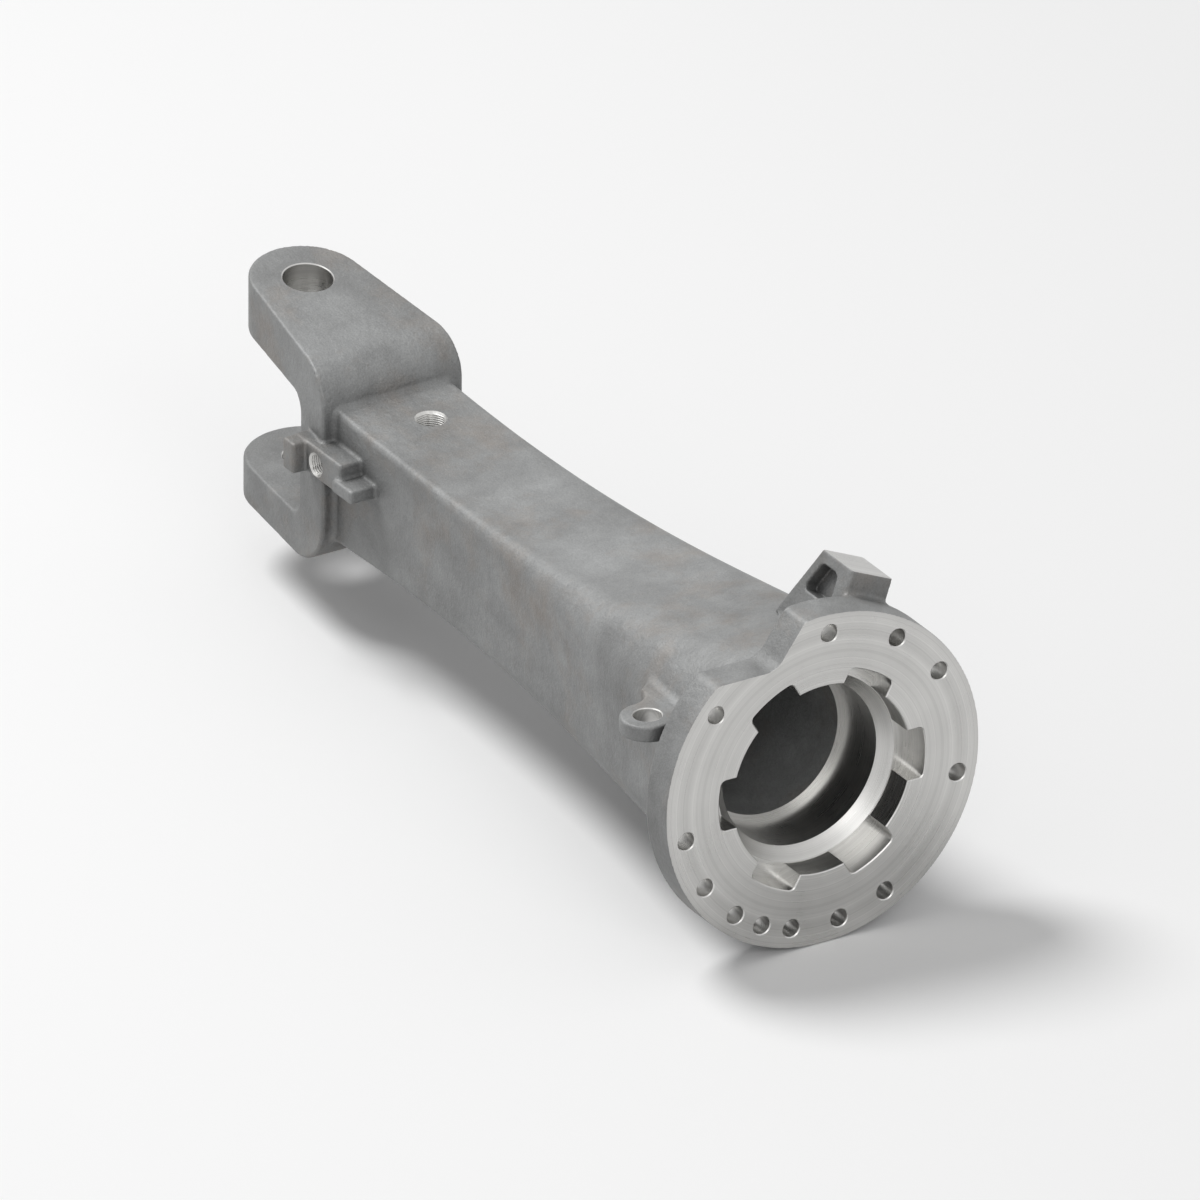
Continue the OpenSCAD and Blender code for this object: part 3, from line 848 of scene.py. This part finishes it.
class AXLE_OT_cast_housing(bpy.types.Operator):
    """Casts the housing: one skin over the beam, fork, flange, lug, ear and pad"""

    bl_idname = "axle.cast_housing"
    bl_label = "Cast housing"

    def execute(self, context):
        scene = context.scene
        casting = Casting(scene.axle_casting, scene.axle_lugs)
        sizes = scene.axle_casting
        low, high = CAD_BOX
        margin = 2 * sizes.grid
        waist_from, waist_to = 0.28 - sizes.arm + sizes.reach - 0.134, -4 * sizes.flange_t
        lines = (
            grid_lines([low.x - margin, waist_from, waist_to, high.x + sizes.face_stock + margin],
                       [sizes.grid, sizes.grid_waist, sizes.grid]),
            grid_lines([low.y - margin, high.y + margin], [sizes.grid]),
            grid_lines([low.z - margin, high.z + margin], [sizes.grid]),
        )
        points, faces = skin_of(casting, lines)
        body = mesh_object("axle_casting", casting.settle(points, 4), faces)
        thinned = body.modifiers.new("thinned", "DECIMATE")
        thinned.ratio = min(1.0, sizes.triangles / (2 * len(faces)))
        replace_mesh(body)
        mesh = body.data
        places = np.empty(3 * len(mesh.vertices))
        mesh.vertices.foreach_get("co", places)
        mesh.vertices.foreach_set("co", casting.settle(places.reshape(-1, 3), 2).ravel())
        mesh.materials.append(cast_material(scene.axle_finish))
        mesh.update()
        return {"FINISHED"}


class AXLE_OT_machine_housing(bpy.types.Operator):
    """Machines the flange's face, the chamber, the bores and the holes"""

    bl_idname = "axle.machine_housing"
    bl_label = "Machine housing"

    def execute(self, context):
        scene = context.scene
        body = bpy.data.objects.get("axle_casting")
        if body is None:
            raise RuntimeError("cast the housing first")
        s, m, g = scene.axle_casting, scene.axle_machining, scene.axle_lugs
        face, bore, drill = turned_material(scene.axle_finish), bored_material(scene.axle_finish), \
            drilled_material(scene.axle_finish)
        cut(body, self.facing(s, g, face))
        mouth = joined("mouth", [(stacked("mouth", [
            (-m.chamber_l, chamber_outline(m, 0)), (-m.edge_break, chamber_outline(m, 0)),
            (4 * s.face_stock, chamber_outline(m, m.edge_break + 4 * s.face_stock))]), face)])
        cut(body, mouth)
        cut(body, joined("bores", self.bores(s, m, face, bore) + self.holes(s, m, g, drill)))
        in_triangles(body)
        body.name = "axle_housing_cast"
        body.data.name = body.name
        shade(body, Casting(s, g))
        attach(body, "root")
        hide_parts(NODE)
        return {"FINISHED"}

    def facing(self, s, g, material):
        """The milling cuts over the flange's face and over the pad."""
        wide, clear = 0.2, 4 * s.face_stock
        square = [(-wide, -wide), (wide, -wide), (wide, wide), (-wide, wide)]
        face = stacked("facing", [(0, square), (clear, square)])
        sin, cos = math.sin(g.pad_angle), math.cos(g.pad_angle)
        top, across = s.flange_r + g.pad_rise, g.pad_w
        plate = [(cos * out + sin * side, sin * out - cos * side) for out, side in (
            (top, -across), (top + clear, -across), (top + clear, across), (top, across))]
        pad = stacked("pad_facing", [(-4 * s.flange_t, plate), (-0.5 * s.flange_t, plate)])
        return joined("facing", [(face, material), (pad, material)])

    def bores(self, s, m, face, bore):
        """Cutters for the piston bore, the shaft's way and the king pins."""
        clear, brk = 4 * s.face_stock, m.edge_break
        way_clear = 3 * m.clearance
        x_axis, z_axis = Vector((1, 0, 0)), Vector((0, 0, 1))
        piston_r = mount_size("piston_bore", "r_mm")
        piston_end = -mount_place("piston_bore").x + mount_size("piston_bore", "length_mm") / 2
        flare = (m.chamber_r - m.land - piston_r - brk) / (m.piston_start - m.chamber_l)
        mouth = -m.chamber_l + m.land / 4
        mouth_r = piston_r + brk + flare * (m.piston_start + mouth)
        piston = turned("piston_bore", [
            (-piston_end, 0), (-piston_end, piston_r), (-m.piston_start - brk, piston_r),
            (-m.piston_start, piston_r + brk), (mouth, mouth_r), (-m.chamber_l / 2, mouth_r),
            (-m.chamber_l / 2, 0)], Vector((0, 0, 0)), x_axis, m.facets)
        seal, shaft = mount_place("seal_seat"), mount_size("shaft_bore", "r_mm")
        seal_r, half = mount_size("seal_seat", "r_mm"), mount_size("seal_seat", "length_mm") / 2
        shaft_end = -seal.x - s.arm + s.reach + 2 * clear
        way = turned("shaft_way", [
            (-half - way_clear, 0), (-half - way_clear, seal_r + brk + way_clear), (-half + brk, seal_r),
            (half, seal_r), (half, shaft + brk), (half + brk, shaft), (shaft_end, shaft), (shaft_end, 0)],
            seal, x_axis, m.facets)
        parts = [(piston, face), (way, face)]
        pin, pin_r = mount_place("king_pin_bores"), mount_size("king_pin_bores", "r_mm")
        wide = pin_r + brk + clear
        for low, low_lean, high, high_lean in (
            (s.throat_top, -math.tan(s.roof_slope), s.eye_top, -math.tan(s.eye_slope)),
            (-s.eye_bottom, math.tan(s.lower_slope), -s.throat_bottom, math.tan(s.floor_slope)),
        ):
            parts.append((turned("king_pin", [
                (low - clear, 0), (low - clear, wide, low_lean), (low + brk, pin_r, low_lean),
                (high - brk, pin_r, high_lean), (high + clear, wide, high_lean), (high + clear, 0)],
                Vector((pin.x, pin.y, 0)), z_axis, m.facets), bore))
        return parts

    def holes(self, s, m, g, material):
        """Cutters for the bolt holes, the ear's hole and the two tapped holes."""
        clear, brk = 4 * s.face_stock, m.edge_break
        x_axis, z_axis = Vector((1, 0, 0)), Vector((0, 0, 1))
        bolt_r = mount_size("flange_bolts_a", "hole_r_mm")
        seat = -s.flange_t + m.seat_depth
        drill = turned("drill", [
            (seat - m.bolt_room, 0), (seat - m.bolt_room, m.seat_r), (seat, m.seat_r),
            (seat, bolt_r + brk), (seat + brk, bolt_r), (-brk, bolt_r), (clear, bolt_r + brk + clear),
            (clear, 0)], Vector((0, 0, 0)), x_axis, m.facets // 2)
        bolts = drilled("bolt_holes", bolt_holes(), drill, material)
        ear_r, half = mount_size("side_ear_hole", "r_mm"), g.ear_t / 2
        ear = turned("ear_hole", [
            (-half - m.clearance, 0), (-half - m.clearance, ear_r + brk + m.clearance), (-half + brk, ear_r),
            (half - brk, ear_r), (half + m.clearance, ear_r + brk + m.clearance), (half + m.clearance, 0)],
            mount_place("side_ear_hole"), z_axis, m.facets)
        port_top = mount_size("top_port", "length_mm") / 2
        port = tapped("top_port", mount_place("top_port"), z_axis, mount_size("top_port", "r_mm"),
                      -2 * port_top, port_top, clear, False, m)
        deep = mount_size("lug_hole", "length_mm") / 2
        lug = tapped("lug_hole", mount_place("lug_hole"), Vector((0, -1, 0)),
                     mount_size("lug_hole", "r_mm"), -deep, deep, m.clearance, True, m)
        return [(bolts, None), (ear, material), (port, material), (lug, material)]


def in_triangles(body):
    """Turns the body into triangles and takes out the flat pairs of them that share all three points."""
    old = body.data
    old.calc_loop_triangles()
    corners = np.empty(3 * len(old.loop_triangles), int)
    old.loop_triangles.foreach_get("vertices", corners)
    corners = corners.reshape(-1, 3)
    slots = np.empty(len(corners), int)
    old.loop_triangles.foreach_get("material_index", slots)
    places = np.empty(3 * len(old.vertices))
    old.vertices.foreach_get("co", places)
    _, kind, count = np.unique(np.sort(corners, axis=1), axis=0, return_inverse=True, return_counts=True)
    keep = count[kind.ravel()] == 1
    used, faces = np.unique(corners[keep], return_inverse=True)
    mesh = bpy.data.meshes.new(old.name)
    mesh.from_pydata(places.reshape(-1, 3)[used].tolist(), [], faces.reshape(-1, 3).tolist())
    for material in old.materials:
        mesh.materials.append(material)
    mesh.polygons.foreach_set("material_index", slots[keep])
    mesh.update()
    body.data = mesh
    bpy.data.meshes.remove(old)


def shade(body, casting):
    """Sharpens the machined edges and takes the cast skin's shading from the casting's own slope."""
    mesh = body.data
    bm = bmesh.new()
    bm.from_mesh(mesh)
    for edge in bm.edges:
        one, two = edge.link_faces
        if one.material_index != two.material_index:
            edge.smooth = False
        elif one.material_index and one.normal.angle(two.normal, 0) > math.radians(25):
            edge.smooth = False
    bm.to_mesh(mesh)
    bm.free()
    mesh.polygons.foreach_set("use_smooth", [True] * len(mesh.polygons))
    mesh.update()
    places = np.empty(3 * len(mesh.vertices))
    mesh.vertices.foreach_get("co", places)
    slope = casting.slope(places.reshape(-1, 3))
    slope /= np.maximum(np.linalg.norm(slope, axis=1), 1e-9)[:, None]
    corners = np.empty(len(mesh.loops), int)
    mesh.loops.foreach_get("vertex_index", corners)
    sizes = np.empty(len(mesh.polygons), int)
    mesh.polygons.foreach_get("loop_total", sizes)
    slots = np.empty(len(mesh.polygons), int)
    mesh.polygons.foreach_get("material_index", slots)
    faces = np.empty(3 * len(mesh.polygons))
    mesh.polygons.foreach_get("normal", faces)
    faces = np.repeat(faces.reshape(-1, 3), sizes, axis=0)
    cast = np.repeat(slots == 0, sizes)
    normals = slope[corners]
    cast &= (normals * faces).sum(1) > 0.7
    normals[~cast] = 0
    mesh.normals_split_custom_set(normals)


class AXLE_OT_light_stage(bpy.types.Operator):
    """Sets up the floor, the soft lamps and the camera"""

    bl_idname = "axle.light_stage"
    bl_label = "Light stage"

    def execute(self, context):
        stage = context.scene.axle_stage
        floor_z = CAD_BOX[0].z
        half = 15.0
        floor = mesh_object("floor", [(-half, -half, floor_z), (half, -half, floor_z),
                                      (half, half, floor_z), (-half, half, floor_z)], [(0, 1, 2, 3)])
        paint = material_nodes("floor_paint")
        paint.put(paint.shader, "Base Color", paint.mixed(paint.seen(), stage.bounce, stage.floor))
        paint.put(paint.shader, "Roughness", 0.9)
        paint.put(paint.shader, "Specular IOR Level", 0.0)
        floor.data.materials.append(paint.owner)
        a, e = stage.azimuth, stage.elevation
        back = Vector((math.sin(a) * math.cos(e), -math.cos(a) * math.cos(e), math.sin(e)))
        right = Vector((math.cos(a), math.sin(a), 0))
        up = back.cross(right)
        centre = up * stage.aim_down - right * stage.aim_right
        data = bpy.data.cameras.new("camera")
        data.type = "ORTHO"
        data.ortho_scale = stage.view_w
        data.clip_start, data.clip_end = 0.1, 60
        camera = bpy.data.objects.new("camera", data)
        camera.location = centre + back * stage.distance
        camera.rotation_euler = (-back).to_track_quat("-Z", "Y").to_euler()
        context.scene.collection.objects.link(camera)
        context.scene.camera = camera
        middle = (CAD_BOX[0] + CAD_BOX[1]) / 2
        for name, place, size, power in (
            ("key", Vector((-2.4, -1.6, 5.1)), 2.6, stage.key_power),
            ("fill", Vector((4.4, -1.2, 2.2)), 3.6, stage.fill_power),
        ):
            lamp = bpy.data.lights.new(name, "AREA")
            lamp.shape = "DISK"
            lamp.size = size
            lamp.energy = power
            obj = bpy.data.objects.new(name, lamp)
            obj.location = middle + place
            obj.rotation_euler = (-place).to_track_quat("-Z", "Y").to_euler()
            context.scene.collection.objects.link(obj)
        sky = Nodes(bpy.data.worlds.new("studio"), "Background")
        sky.put(sky.shader, "Color", (1, 1, 1, 1))
        sky.put(sky.shader, "Strength", sky.ranged(sky.seen(), 0, 1, stage.sky, stage.sky_seen))
        context.scene.world = sky.owner
        context.scene.view_settings.view_transform = "Standard"
        return {"FINISHED"}


class AXLE_PT_panel(bpy.types.Panel):
    """Lists the steps that make the housing"""

    bl_idname = "AXLE_PT_panel"
    bl_label = "Axle housing"
    bl_space_type = "VIEW_3D"
    bl_region_type = "UI"
    bl_category = "Axle"

    def draw(self, context):
        for operator in OPERATORS:
            self.layout.operator(operator.bl_idname)


GROUPS = {
    "axle_casting": HousingCasting,
    "axle_lugs": HousingLugs,
    "axle_machining": HousingMachining,
    "axle_finish": HousingFinish,
    "axle_stage": HousingStage,
}
OPERATORS = (AXLE_OT_cast_housing, AXLE_OT_machine_housing, AXLE_OT_light_stage)


def register():
    for cls in (*GROUPS.values(), *OPERATORS, AXLE_PT_panel):
        bpy.utils.register_class(cls)
    for name, group in GROUPS.items():
        setattr(bpy.types.Scene, name, PointerProperty(type=group))


def unregister():
    for name in GROUPS:
        delattr(bpy.types.Scene, name)
    for cls in reversed((*GROUPS.values(), *OPERATORS, AXLE_PT_panel)):
        bpy.utils.unregister_class(cls)


def main():
    register()
    bpy.ops.axle.cast_housing()
    bpy.ops.axle.machine_housing()
    bpy.ops.axle.light_stage()


if __name__ == "__main__":
    main()
